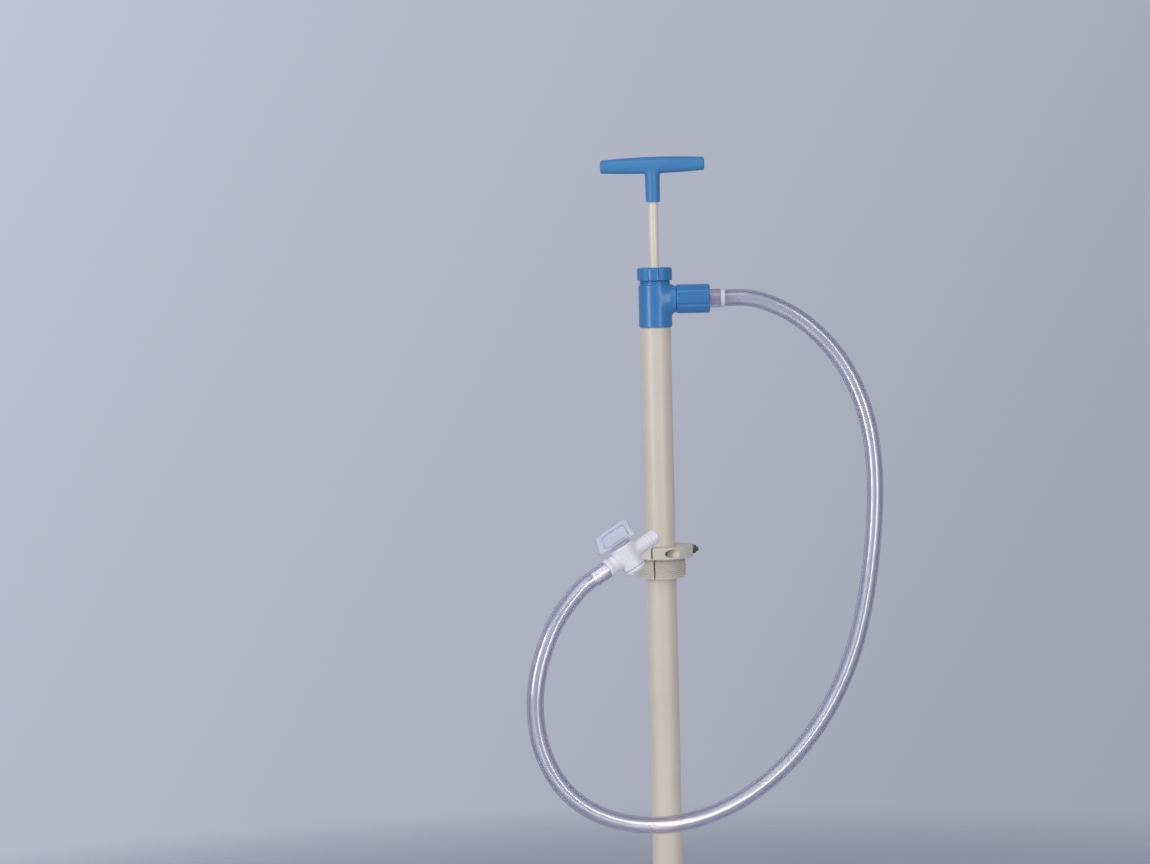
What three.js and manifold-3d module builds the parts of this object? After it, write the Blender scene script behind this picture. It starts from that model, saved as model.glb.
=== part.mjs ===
// Drum barrel pump: a hand-worked piston lift pump that stands in the bung of a drum,
// with a clear discharge hose and a stopcock at the hose's end.
// Millimetres. +Z is up along the pump's axis. +X is the side the outlet branch points to.
// The origin is the centre of the bung adapter's underside, where its flange sits on the
// bung neck; the threaded spigot and most of the pump tube are below it.
import * as THREE from 'three';
import { mergeVertices } from 'three/addons/utils/BufferGeometryUtils.js';
import Module from 'manifold-3d';

const wasm = await Module();
wasm.setup();

// ---------------------------------------------------------------- driving dimensions
const GAP = 0.3;                    // clearance between touching pieces

// bung adapter: a flanged collar with a 2 inch pipe-thread spigot, split into two halves
const FLANGE_R = 38.5, FLANGE_H = 14;
const SPIGOT_R = 29.8, SPIGOT_L = 24;
const CLAMP_BORE_R = 18.3;
const SLIT_ANGLE = 18;              // degrees from the front (-Y) towards -X
const SLIT_W = 2;
const CLAMP_SCREW_RADIUS = 29.5;    // distance of each clamp screw's line from the axis
const SCREW_HEAD_SEAT = 11.3, SCREW_SHANK_L = 50, SCREW_SHANK_R = 2.9;
const SCREW_HEAD_R = 5, SCREW_HEAD_H = 4, COUNTERBORE_R = 5.4;
const NUT_SEAT = 30, NUT_H = 5, NUT_AF = 10, NUT_BOSS_R = 6.9, SPOT_FACE_R = 6.5;

// pump tube
const TUBE_R = 18, TUBE_BORE_R = 15;
const TUBE_BOTTOM = -673, HEAD_BOTTOM = 276.6;
const TUBE_NECK_R = 16.9, TUBE_TOP = 299;

// head
const HEAD_R = 20, HEAD_NECK_R = 17.8, HEAD_TOP = 327, HEAD_NECK_TOP = 332;
const HEAD_THREAD_R = 15.4, HEAD_THREAD_TOP = 344;
const HEAD_CHAMBER_R = 14.5, GLAND_R = 11, GLAND_FLOOR = 330;
const OUTLET_Z = 309.7, BRANCH_R = 16.25, BRANCH_END = 25, BRANCH_BORE_R = 8;
const NIPPLE_R = 13.1, NIPPLE_END = 45;

// cap nut
const CAP_R = 20.9, CAP_BOTTOM = 332.3, CAP_TOP = 348, CAP_LOBES = 8, CAP_TURN = 17;

// union nut, outlet stub, hose connector
const UNION_R = 17.4, UNION_START = 25.3, UNION_END = 65.4, UNION_LOBES = 8, UNION_TURN = 22.5;
const STUB_R = 11.2, STUB_BORE_R = 7.4, STUB_START = 47.9, STUB_END = 78.1;
const CONN_START = 58, COLLAR_START = 78.4, COLLAR_END = 83.3, CONN_END = 102, COLLAR_R = 11.3;

// discharge hose
const HOSE_R = 10, HOSE_BORE_R = 7.7, HOSE_SIDES = 10, HOSE_STEPS = 36;

// piston rod and handle
const ROD_R = 6;
const HANDLE_BOTTOM = 426, HANDLE_Z = 469.7, HANDLE_LENGTH = 125, HANDLE_MID = 20.4, HANDLE_END = 16;
const STEM_TOP_R = 8.9, STEM_BOTTOM_R = 8.5, BAR_DEPTH = 19;
const STOP_COLLAR_TOP = -17.4, STOP_COLLAR_R = 9;

// piston (lowest face at z = PISTON_BOTTOM)
const PISTON_BOTTOM = -562, PISTON_R = 14.2, PISTON_BALL_R = 6;

// foot valve
const FOOT_BALL_R = 8;

// stopcock: flow axis U, plug axis V, both through its centre
const COCK_CENTRE = new THREE.Vector3(-43.5, -172, 20.3);
const COCK_U = new THREE.Vector3(0.802, 0.341, 0.491).normalize();
const COCK_V = new THREE.Vector3(-0.522, 0, 0.853).normalize();

// centreline of the discharge hose, from the connector's collar to the stopcock
const HOSE_POINTS = [
  [83.6, 0, 309.7], [95, 0, 309.7], [104, 0, 309.6], [124.2, -0.3, 306.4], [161.4, -2.5, 289.8], [193.3, -6.9, 264.6],
  [218.9, -12.9, 233.3], [237.5, -20, 197.6], [249.1, -27.7, 159.2], [254.4, -35.8, 119.4],
  [254.9, -44.5, 79.4], [252.2, -53.8, 39.7], [247.2, -64, 0.3], [240.3, -75.1, -38.5],
  [230.8, -87.1, -76.4], [218, -99.7, -113.2], [201.3, -112.8, -148.2], [180.6, -126, -180.9],
  [155.8, -139.2, -210.8], [127.3, -152.2, -237], [95.2, -164.9, -259], [59.9, -176.9, -275.8],
  [21.9, -188, -286.1], [-17.7, -197.7, -288.6], [-57.2, -205.7, -282.2], [-94.1, -211.8, -265.8],
  [-124.1, -215.7, -238.6], [-143.3, -217.7, -202.6], [-151.9, -218.5, -162.7], [-150.9, -218.1, -121.9],
  [-141, -214.9, -82.3], [-124, -207.5, -46],
];
const HOSE_COCK_START = 29.6;       // distance along -U from the stopcock's centre

// ---------------------------------------------------------------- materials
const mat = (color, roughness, metalness = 0, extra = {}) =>
  new THREE.MeshStandardMaterial({ color, roughness, metalness, ...extra });
const M = {
  beige: mat(0xcbc6b8, 0.45),
  rod: mat(0xd3d2ca, 0.4),
  blue: mat(0x2f6fb0, 0.22),
  blueSatin: mat(0x3a7ab4, 0.45),
  steel: mat(0x8f9296, 0.35, 0.9),
  natural: mat(0xe2e2e8, 0.4),
  clear: mat(0xc9c6da, 0.15, 0, { transparent: true, opacity: 0.4 }),
  seal: mat(0x2b2b2e, 0.7),
  white: mat(0xeceaf0, 0.35),
};

// ---------------------------------------------------------------- geometry helpers
// keeps positions only, merges shared vertices, drops collapsed triangles, faces outwards
function clean(geometry, tolerance = 1e-4) {
  const g = geometry.index ? geometry.toNonIndexed() : geometry.clone();
  for (const name of Object.keys(g.attributes)) if (name !== 'position') g.deleteAttribute(name);
  const merged = mergeVertices(g, tolerance);
  const p = merged.attributes.position, src = merged.index.array, out = [];
  let volume = 0;
  const a = new THREE.Vector3(), b = new THREE.Vector3(), c = new THREE.Vector3();
  for (let i = 0; i < src.length; i += 3) {
    const [i0, i1, i2] = [src[i], src[i + 1], src[i + 2]];
    if (i0 === i1 || i1 === i2 || i2 === i0) continue;
    out.push(i0, i1, i2);
    volume += a.fromBufferAttribute(p, i0).dot(b.fromBufferAttribute(p, i1).cross(c.fromBufferAttribute(p, i2)));
  }
  if (volume < 0) for (let i = 0; i < out.length; i += 3) [out[i + 1], out[i + 2]] = [out[i + 2], out[i + 1]];
  const result = new THREE.BufferGeometry();
  result.setAttribute('position', new THREE.BufferAttribute(Float32Array.from(p.array), 3));
  result.setIndex(out);
  return result;
}

function toSolid(geometry) {
  const g = clean(geometry);
  return new wasm.Manifold(new wasm.Mesh({
    numProp: 3,
    vertProperties: Float32Array.from(g.attributes.position.array),
    triVerts: Uint32Array.from(g.index.array),
  }));
}

function toGeometry(solid) {
  const mesh = solid.getMesh();
  const g = new THREE.BufferGeometry();
  g.setAttribute('position', new THREE.BufferAttribute(Float32Array.from(mesh.vertProperties), 3));
  g.setIndex(new THREE.BufferAttribute(Uint32Array.from(mesh.triVerts), 1));
  return g;
}

// solid of revolution about Z from [radius, z] corners; it closes on itself unless it
// starts and ends on the axis
function revolve(profile, segments = 32) {
  const pts = profile.map(([r, z]) => new THREE.Vector2(r, z));
  if (!(profile[0][0] === 0 && profile[profile.length - 1][0] === 0)) pts.push(pts[0].clone());
  return clean(new THREE.LatheGeometry(pts, segments).rotateX(Math.PI / 2));
}

// right-hand frame whose local Z is the given direction
function aim(direction, xHint = new THREE.Vector3(1, 0, 0)) {
  const z = direction.clone().normalize();
  const x = xHint.clone().addScaledVector(z, -xHint.dot(z)).normalize();
  const y = new THREE.Vector3().crossVectors(z, x);
  return new THREE.Matrix4().makeBasis(x, y, z);
}

function box(w, d, h, x = 0, y = 0, z = 0) {
  return new THREE.BoxGeometry(w, d, h).translate(x, y, z);
}

function rod(radius, z0, z1, segments = 20) {
  return revolve([[0, z0], [radius, z0], [radius, z1], [0, z1]], segments);
}

// closed outline with broad lobes parted by narrow grooves; turn is the angle of a groove in degrees
function lobedShape(radius, depth, lobes, turn) {
  const pts = [], pitch = (Math.PI * 2) / lobes, g = 1.6 / radius;
  const start = THREE.MathUtils.degToRad(turn);
  for (let i = 0; i < lobes; i++) {
    const stops = [[0, depth], [g, 0.25], [2 * g, 0], [pitch * 0.35, 0], [pitch * 0.5, 0], [pitch * 0.65, 0], [pitch - 2 * g, 0], [pitch - g, 0.25]];
    for (const [a, sink] of stops) {
      const t = start + i * pitch + a;
      pts.push(new THREE.Vector2((radius - sink) * Math.cos(t), (radius - sink) * Math.sin(t)));
    }
  }
  return new THREE.Shape(pts);
}

const group = new THREE.Group();
function add(name, geometry, material, parent = group) {
  const mesh = new THREE.Mesh(geometry, material);
  mesh.name = name;
  parent.add(mesh);
  return mesh;
}

// ---------------------------------------------------------------- bung adapter
const slit = THREE.MathUtils.degToRad(SLIT_ANGLE);
const slitDir = new THREE.Vector3(-Math.sin(slit), -Math.cos(slit), 0);   // in the slit, towards the front
const slitNormal = new THREE.Vector3(Math.cos(slit), -Math.sin(slit), 0); // across the slit, to the right
const collar = revolve([
  [CLAMP_BORE_R, -SPIGOT_L], [SPIGOT_R - 2, -SPIGOT_L], [SPIGOT_R, -SPIGOT_L + 2], [SPIGOT_R, -2.5],
  [SPIGOT_R - 1.5, -2.5], [SPIGOT_R - 1.5, 0], [FLANGE_R - 0.8, 0], [FLANGE_R, 0.8],
  [FLANGE_R, FLANGE_H - 2], [FLANGE_R - 2, FLANGE_H], [CLAMP_BORE_R, FLANGE_H],
], 48);

// screw frame: local Z runs across the slit, towards the screw's head
function screwFrame(side) {
  const m = aim(slitNormal.clone().multiplyScalar(side), new THREE.Vector3(0, 0, 1));
  m.setPosition(slitDir.clone().multiplyScalar(CLAMP_SCREW_RADIUS * side).setZ(FLANGE_H / 2));
  return m;
}
function screwCutter(side) {
  const cutters = [
    rod(SCREW_SHANK_R + 0.4, -60, 60, 12),
    rod(COUNTERBORE_R, SCREW_HEAD_SEAT, 60, 20),
    rod(SPOT_FACE_R, -60, -NUT_SEAT, 20),
  ];
  return cutters.map((g) => toSolid(g.applyMatrix4(screwFrame(side)))).reduce((s, t) => s.add(t));
}
// a round boss gives each nut a flat seat
const boss = (side) => toSolid(rod(NUT_BOSS_R, -NUT_SEAT, -8, 20).applyMatrix4(screwFrame(side)));
const collarSolid = toSolid(collar).add(boss(1)).add(boss(-1)).subtract(screwCutter(1)).subtract(screwCutter(-1));
for (const [name, side] of [['adapter_half_right', 1], ['adapter_half_left', -1]]) {
  const half = box(200, 200, 200, 0, 0, 0).translate(0, 0, 100 + SLIT_W / 2);
  half.applyMatrix4(aim(slitNormal.clone().multiplyScalar(side), new THREE.Vector3(0, 0, 1)));
  add(name, toGeometry(collarSolid.intersect(toSolid(half))), M.beige);
}
for (const [name, side] of [['front', 1], ['rear', -1]]) {
  const s0 = SCREW_HEAD_SEAT + GAP;
  const screw = toSolid(revolve([
    [0, s0 - SCREW_SHANK_L], [SCREW_SHANK_R - 0.8, s0 - SCREW_SHANK_L], [SCREW_SHANK_R, s0 - SCREW_SHANK_L + 0.8],
    [SCREW_SHANK_R, s0], [SCREW_HEAD_R, s0], [SCREW_HEAD_R, s0 + SCREW_HEAD_H - 0.8],
    [SCREW_HEAD_R - 0.8, s0 + SCREW_HEAD_H], [0, s0 + SCREW_HEAD_H],
  ], 12)).subtract(toSolid(box(12, 1.2, 3, 0, 0, s0 + SCREW_HEAD_H)));
  add(`clamp_screw_${name}`, toGeometry(screw).applyMatrix4(screwFrame(side)), M.steel);
  const hex = [];
  for (let i = 0; i < 6; i++) {
    const t = (i + 0.5) * Math.PI / 3;
    hex.push(new THREE.Vector2(Math.cos(t), Math.sin(t)).multiplyScalar(NUT_AF / Math.sqrt(3)));
  }
  const nut = toSolid(new THREE.ExtrudeGeometry(new THREE.Shape(hex), { depth: NUT_H, bevelEnabled: false })
    .translate(0, 0, -NUT_SEAT - GAP - NUT_H)).subtract(toSolid(rod(SCREW_SHANK_R + GAP, -60, 0, 16)));
  add(`clamp_nut_${name}`, toGeometry(nut).applyMatrix4(screwFrame(side)), M.steel);
}

// ---------------------------------------------------------------- pump tube
add('pump_tube', revolve([
  [TUBE_BORE_R, TUBE_BOTTOM], [TUBE_R, TUBE_BOTTOM], [TUBE_R, HEAD_BOTTOM - GAP],
  [TUBE_NECK_R, HEAD_BOTTOM - GAP], [TUBE_NECK_R, TUBE_TOP], [TUBE_BORE_R, TUBE_TOP],
], 40), M.beige);

// ---------------------------------------------------------------- head
const headCore = toSolid(revolve([
  [0, HEAD_BOTTOM], [HEAD_R - 0.9, HEAD_BOTTOM], [HEAD_R + 0.1, HEAD_BOTTOM + 1], [HEAD_R - 0.2, HEAD_TOP - 1.2],
  [HEAD_R - 1.4, HEAD_TOP], [HEAD_NECK_R, HEAD_TOP], [HEAD_NECK_R, HEAD_NECK_TOP],
  [HEAD_THREAD_R, HEAD_NECK_TOP], [HEAD_THREAD_R, HEAD_THREAD_TOP], [0, HEAD_THREAD_TOP],
], 36));
const alongX = (g) => g.rotateY(Math.PI / 2).translate(0, 0, OUTLET_Z);   // local Z becomes +X on the outlet's axis
const branch = toSolid(alongX(revolve([
  [0, 4], [BRANCH_R + 0.6, 4], [BRANCH_R + 0.6, 17], [BRANCH_R, 21], [BRANCH_R, BRANCH_END - 0.8], [BRANCH_R - 0.8, BRANCH_END],
  [NIPPLE_R, BRANCH_END], [NIPPLE_R, NIPPLE_END], [0, NIPPLE_END],
], 28)));
const headBores = [
  revolve([[0, HEAD_BOTTOM - 5], [TUBE_NECK_R + GAP, HEAD_BOTTOM - 5], [TUBE_NECK_R + GAP, TUBE_TOP + 1.9],
    [HEAD_CHAMBER_R, TUBE_TOP + 1.9], [HEAD_CHAMBER_R, 323], [11, 326], [7, 326], [7, GLAND_FLOOR],
    [GLAND_R, GLAND_FLOOR], [GLAND_R, 360], [0, 360]], 32),
  alongX(rod(BRANCH_BORE_R, 0, 60, 20)),
].map(toSolid);
add('pump_head', toGeometry(headCore.add(branch).subtract(headBores[0]).subtract(headBores[1])), M.blue);

// flat ring between the tube's top end and the head's shoulder
add('tube_seal', revolve([[15, TUBE_TOP + GAP], [16.9, TUBE_TOP + GAP], [16.9, TUBE_TOP + 1.6], [15, TUBE_TOP + 1.6]], 24), M.seal);

// lip seal and guide bush in the gland
add('rod_seal', revolve([[ROD_R + GAP, 330.3], [10.7, 330.3], [10.7, 337.9], [8.9, 337.9], [8.9, 335], [6.9, 335], [ROD_R + GAP, 336]], 20), M.seal);
add('rod_guide', revolve([[ROD_R + GAP, 338.2], [10.7, 338.2], [10.7, 343.9], [7.7, 343.9], [7.7, 348.7], [ROD_R + GAP, 348.7]], 20), M.white);

// cap nut: a ribbed ring and its domed top
{
  const skirt = new THREE.ExtrudeGeometry(lobedShape(CAP_R, 1.1, CAP_LOBES, CAP_TURN), { depth: CAP_TOP - CAP_BOTTOM, bevelEnabled: false })
    .translate(0, 0, CAP_BOTTOM);
  const dome = revolve([[0, CAP_BOTTOM], [CAP_R - 1.2, CAP_BOTTOM], [CAP_R + 0.2, CAP_BOTTOM + 1.4], [CAP_R + 0.2, CAP_TOP - 3.4],
    [CAP_R - 0.9, CAP_TOP - 1.2], [CAP_R - 3.4, CAP_TOP], [0, CAP_TOP]], 32);
  const bore = revolve([[0, CAP_BOTTOM - 3], [HEAD_THREAD_R + GAP, CAP_BOTTOM - 3], [HEAD_THREAD_R + GAP, 344.4],
    [8.1, 344.4], [8.1, 360], [0, 360]], 24);
  add('cap_nut', toGeometry(toSolid(skirt).intersect(toSolid(dome)).subtract(toSolid(bore))), M.blue);
}

// ---------------------------------------------------------------- outlet union
{
  const body = new THREE.ExtrudeGeometry(lobedShape(UNION_R, 0.9, UNION_LOBES, UNION_TURN), { depth: UNION_END - UNION_START, bevelEnabled: false })
    .translate(0, 0, UNION_START);
  const ends = revolve([[0, UNION_START], [UNION_R - 1.8, UNION_START], [UNION_R + 0.2, UNION_START + 2.2], [UNION_R + 0.2, UNION_END - 2.6],
    [UNION_R - 2.4, UNION_END], [0, UNION_END]], 32);
  const bore = revolve([[0, UNION_START - 3], [NIPPLE_R + GAP, UNION_START - 3], [NIPPLE_R + GAP, 60.9],
    [STUB_R + GAP, 61.2], [STUB_R + GAP, 80], [0, 80]], 28);
  add('outlet_union_nut', alongX(toGeometry(toSolid(body).intersect(toSolid(ends)).subtract(toSolid(bore)))), M.blue);
}
add('outlet_gasket', alongX(revolve([[8.2, 45.3], [12.9, 45.3], [12.9, 47.6], [8.2, 47.6]], 20)), M.seal);
add('outlet_clamp_ring', alongX(revolve([[STUB_R + GAP, 50], [12.9, 50], [12.9, 59], [12.2, 60.6], [STUB_R + GAP, 60.6]], 24)), M.white);
add('outlet_stub', alongX(revolve([[STUB_BORE_R, STUB_START], [STUB_R, STUB_START], [STUB_R, STUB_END], [STUB_BORE_R, STUB_END]], 28)), M.clear);

// double-ended hose connector: barbs at each side of a collar
{
  const left = [[4.5, CONN_START], [5.9, CONN_START], [6.9, CONN_START + 4], [6.2, CONN_START + 4.3]];
  const right = [[6.2, CONN_END - 4.3], [6.9, CONN_END - 4]];
  const profile = [...left, [6.2, COLLAR_START], [COLLAR_R - 0.5, COLLAR_START], [COLLAR_R, COLLAR_START + 0.5],
    [COLLAR_R, COLLAR_END - 0.5], [COLLAR_R - 0.5, COLLAR_END], [6.2, COLLAR_END], ...right, [5.9, CONN_END], [4.5, CONN_END]];
  add('hose_connector', alongX(revolve(profile, 20)), M.white);
}

// ---------------------------------------------------------------- discharge hose
{
  const pts = HOSE_POINTS.map((p) => new THREE.Vector3(...p));
  for (const s of [62, 50, 40, HOSE_COCK_START]) pts.push(COCK_CENTRE.clone().addScaledVector(COCK_U, -s));
  const ring = (r, dir) => Array.from({ length: HOSE_SIDES }, (_, i) => {
    const t = dir * (i / HOSE_SIDES) * Math.PI * 2;
    return new THREE.Vector2(r * Math.cos(t), r * Math.sin(t));
  });
  const section = new THREE.Shape(ring(HOSE_R, 1));
  section.holes.push(new THREE.Path(ring(HOSE_BORE_R, -1)));
  const base = new THREE.CatmullRomCurve3(pts, false, 'centripetal');
  base.arcLengthDivisions = 600;
  // stations along the hose: one step covers the straight stretch over each barbed tail
  const first = 19.5 / base.getLength(), last = 1 - 21.5 / base.getLength(), inner = HOSE_STEPS - 2;
  const stations = [0, ...Array.from({ length: inner + 1 }, (_, i) => first + (last - first) * i / inner), 1];
  const warp = (u) => {
    const x = Math.min(Math.max(u, 0), 1) * HOSE_STEPS, i = Math.min(Math.floor(x), HOSE_STEPS - 1);
    return stations[i] + (stations[i + 1] - stations[i]) * (x - i);
  };
  class HosePath extends THREE.Curve {
    getPointAt(u, target) { return base.getPointAt(warp(u), target); }
    getTangentAt(u, target) { return base.getTangentAt(warp(u), target); }
  }
  add('discharge_hose', clean(new THREE.ExtrudeGeometry(section, { steps: HOSE_STEPS, extrudePath: new HosePath(), bevelEnabled: false })), M.clear);
}

// ---------------------------------------------------------------- handle and piston rod
{
  const h = HANDLE_LENGTH / 2, top = HANDLE_MID / 2, bevel = 4;
  const outline = [
    [-h, -HANDLE_END / 2 + 2], [-h + 1.5, -HANDLE_END / 2 - 1], [-h + 6, -HANDLE_END / 2 - 1.4], [-16, -top],
    [16, -top], [h - 6, -HANDLE_END / 2 - 1.4], [h - 1.5, -HANDLE_END / 2 - 1], [h, -HANDLE_END / 2 + 2],
    [h, 2.5], [h - 1.6, 5.6], [h - 5, 7.2], [30, top - 1.1], [0, top], [-30, top - 1.1], [-h + 5, 7.2], [-h + 1.6, 5.6], [-h, 2.5],
  ].map(([x, z]) => new THREE.Vector2(x, z));
  const bar = new THREE.ExtrudeGeometry(new THREE.Shape(outline), {
    depth: BAR_DEPTH - 2 * bevel, bevelEnabled: true, bevelThickness: bevel, bevelSize: bevel, bevelOffset: -bevel, bevelSegments: 3,
  }).translate(0, 0, -(BAR_DEPTH - 2 * bevel) / 2).rotateX(Math.PI / 2).translate(0, 0, HANDLE_Z);
  const stem = revolve([[0, HANDLE_BOTTOM], [STEM_BOTTOM_R - 0.7, HANDLE_BOTTOM], [STEM_BOTTOM_R, HANDLE_BOTTOM + 0.7], [STEM_TOP_R, 457],
    [STEM_TOP_R + 1.4, 461.5], [STEM_TOP_R + 1.4, HANDLE_Z], [0, HANDLE_Z]], 24);
  const socket = rod(ROD_R + GAP, HANDLE_BOTTOM - 5, 452, 20);
  add('handle', toGeometry(toSolid(bar).add(toSolid(stem)).subtract(toSolid(socket))), M.blueSatin);
}
add('piston_rod', revolve([
  [0, -531.7], [ROD_R - 0.6, -531.7], [ROD_R, -531.1], [ROD_R, STOP_COLLAR_TOP - 12], [STOP_COLLAR_R, STOP_COLLAR_TOP - 10],
  [STOP_COLLAR_R, STOP_COLLAR_TOP - 1], [STOP_COLLAR_R - 1, STOP_COLLAR_TOP], [ROD_R, STOP_COLLAR_TOP], [ROD_R, 451.7], [0, 451.7],
], 20), M.rod);

// ---------------------------------------------------------------- piston
{
  const b = PISTON_BOTTOM;
  add('piston_seat', revolve([[4.5, b], [PISTON_R - 1, b], [PISTON_R, b + 1], [PISTON_R, b + 3.7], [4.5, b + 3.7]], 24), M.white);
  add('piston_seal', revolve([[12.3, b + 4.1], [14.2, b + 4.1], [14.7, b + 9.6], [13.7, b + 10.6], [12.3, b + 10.6]], 32), M.seal);
  let cage = toSolid(revolve([
    [7.5, b + 4], [12, b + 4], [12, b + 11], [PISTON_R, b + 11], [PISTON_R, b + 16], [10, b + 17], [10, b + 41], [9, b + 42],
    [ROD_R + GAP, b + 42], [ROD_R + GAP, b + 30], [0, b + 30], [0, b + 24], [7.5, b + 24],
  ], 24));
  for (const turn of [0, Math.PI / 2]) cage = cage.subtract(toSolid(box(40, 8, 6.6, 0, 0, b + 20.5).rotateZ(turn)));
  add('piston_cage', toGeometry(cage), M.white);
  add('piston_ball', clean(new THREE.IcosahedronGeometry(PISTON_BALL_R, 2).translate(0, 0, b + 8.2)), M.steel);
}

// ---------------------------------------------------------------- foot valve
{
  const t = TUBE_BOTTOM;
  let body = toSolid(revolve([
    [13, t - 15], [TUBE_R - 1, t - 15], [TUBE_R, t - 14], [TUBE_R, t - GAP], [14.7, t - GAP], [14.7, t + 29], [13.9, t + 30],
    [11, t + 30], [11, t + 5], [6.5, t + 3], [6.5, t - 4], [13, t - 4],
  ], 28));
  for (const turn of [0, Math.PI / 2]) body = body.subtract(toSolid(box(60, 9, 14, 0, 0, t - 14).rotateZ(turn)));
  add('foot_valve_body', toGeometry(body), M.beige);
  add('foot_valve_ball', clean(new THREE.IcosahedronGeometry(FOOT_BALL_R, 2).translate(0, 0, t + 8.4)), M.steel);
  let cage = toSolid(revolve([[7.6, t + 22.5], [10.7, t + 22.5], [10.7, t + 28.5], [7.6, t + 28.5]], 20));
  cage = cage.add(toSolid(box(17, 3, 4, 0, 0, t + 24.5))).add(toSolid(box(3, 17, 4, 0, 0, t + 24.5)));
  add('foot_valve_cage', toGeometry(cage), M.white);
}

// ---------------------------------------------------------------- stopcock
{
  const along = (dir, hint) => { const m = aim(dir, hint); m.setPosition(COCK_CENTRE); return m; };
  const U = along(COCK_U, COCK_V), V = along(COCK_V, COCK_U);
  const barrel = revolve([[0, -15.6], [13.2, -15.6], [14, 12.2], [13.2, 13], [0, 13]], 28).applyMatrix4(V);
  const nozzle = revolve([[0, 0], [9, 0], [8.6, 17], [8.6, 41], [6.6, 44], [0, 44]], 20).applyMatrix4(U);
  const tail = revolve([[0, -50], [5.9, -50], [6.9, -46.4], [6.2, -46.2], [6.2, -29.3], [9.6, -29.3], [10.8, -28],
    [10.8, -24.6], [9, -23], [9, 0], [0, 0]], 20).applyMatrix4(U);
  const flow = rod(5, -60, 60, 16).applyMatrix4(U);
  const plugBore = rod(10.3, -60, 60, 24).applyMatrix4(V);
  add('stopcock_body', toGeometry(toSolid(barrel).add(toSolid(nozzle)).add(toSolid(tail)).subtract(toSolid(flow)).subtract(toSolid(plugBore))), M.natural);

  const plug = revolve([[0, -19.6], [4, -19.6], [4.7, -18.9], [4.7, -15.3], [10, -15.3], [10, 13.3], [13, 13.3], [13, 15.6], [12, 16.6], [0, 16.6]], 24);
  const port = rod(4.5, -30, 30, 16).rotateY(Math.PI / 2);
  const wing = new THREE.ExtrudeGeometry(new THREE.Shape([[-27.5, 19.2], [-25.8, 17.8], [-13, 15.6], [21.4, 15.5], [21.8, 35.5], [20, 37.6], [-19.5, 37.6], [-21.5, 36]]
    .map(([x, y]) => new THREE.Vector2(x, y))), { depth: 5.4, bevelEnabled: false }).translate(0, 0, -2.7).rotateX(Math.PI / 2);
  const recess = (y) => new THREE.ExtrudeGeometry(new THREE.Shape([[-19, 19.5], [15.5, 19.5], [15.5, 33], [-15.5, 33]]
    .map(([x, z]) => new THREE.Vector2(x, z))), { depth: 1.6, bevelEnabled: false }).rotateX(Math.PI / 2).translate(0, y, 0);
  const key = toSolid(plug).add(toSolid(wing)).subtract(toSolid(port)).subtract(toSolid(recess(2.71))).subtract(toSolid(recess(-1.11)));
  add('stopcock_plug', toGeometry(key).applyMatrix4(V), M.natural);
  add('stopcock_end_cap', revolve([[5, -15.9], [12.8, -15.9], [12.8, -18.9], [10.5, -21.7], [0, -21.7], [0, -20.1], [5, -20.1]], 24).applyMatrix4(V), M.natural);
}

export default group;
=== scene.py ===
import json
import math

import bpy
import numpy as np
from mathutils import Matrix, Vector


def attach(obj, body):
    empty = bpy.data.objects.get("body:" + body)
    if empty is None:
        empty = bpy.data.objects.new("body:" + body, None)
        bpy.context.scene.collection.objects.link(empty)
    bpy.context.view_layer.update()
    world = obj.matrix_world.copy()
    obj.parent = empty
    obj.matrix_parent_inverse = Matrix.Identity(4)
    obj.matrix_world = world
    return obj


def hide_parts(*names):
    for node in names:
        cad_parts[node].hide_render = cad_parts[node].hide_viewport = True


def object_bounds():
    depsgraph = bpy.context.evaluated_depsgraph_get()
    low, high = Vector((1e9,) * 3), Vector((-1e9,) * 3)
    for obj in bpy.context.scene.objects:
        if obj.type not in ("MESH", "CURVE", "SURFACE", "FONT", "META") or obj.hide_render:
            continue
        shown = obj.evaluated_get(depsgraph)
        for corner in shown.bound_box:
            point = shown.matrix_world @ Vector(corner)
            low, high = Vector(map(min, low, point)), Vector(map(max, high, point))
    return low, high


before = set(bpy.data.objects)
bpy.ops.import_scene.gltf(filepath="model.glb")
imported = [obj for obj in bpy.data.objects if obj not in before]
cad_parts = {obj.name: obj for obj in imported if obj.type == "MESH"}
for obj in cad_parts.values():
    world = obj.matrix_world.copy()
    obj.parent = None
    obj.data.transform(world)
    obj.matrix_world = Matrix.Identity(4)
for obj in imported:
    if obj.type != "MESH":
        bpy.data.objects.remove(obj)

CAD_LO, CAD_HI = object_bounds()
MM = 0.001
scene = bpy.context.scene
scene.view_settings.view_transform = "Standard"
scene.view_settings.look = "None"

# ------------------------------------------------------------------ camera
TILT, ROLL = math.radians(3.643), math.radians(-1.396)
forward = Vector((0.0, math.cos(TILT), -math.sin(TILT)))
right0 = Vector((1.0, 0.0, 0.0))
up0 = right0.cross(forward)
right = right0 * math.cos(ROLL) + up0 * math.sin(ROLL)
up = right.cross(forward)
cam_data = bpy.data.cameras.new("camera")
cam_data.lens = 99.32
cam_data.sensor_width = 36.0
cam_data.clip_start, cam_data.clip_end = 0.05, 200.0
camera = bpy.data.objects.new("camera", cam_data)
scene.collection.objects.link(camera)
rot = Matrix((right, up, -forward)).transposed().to_4x4()
camera.matrix_world = Matrix.Translation((-0.0997, -3.8, 0.395)) @ rot
scene.camera = camera


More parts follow.
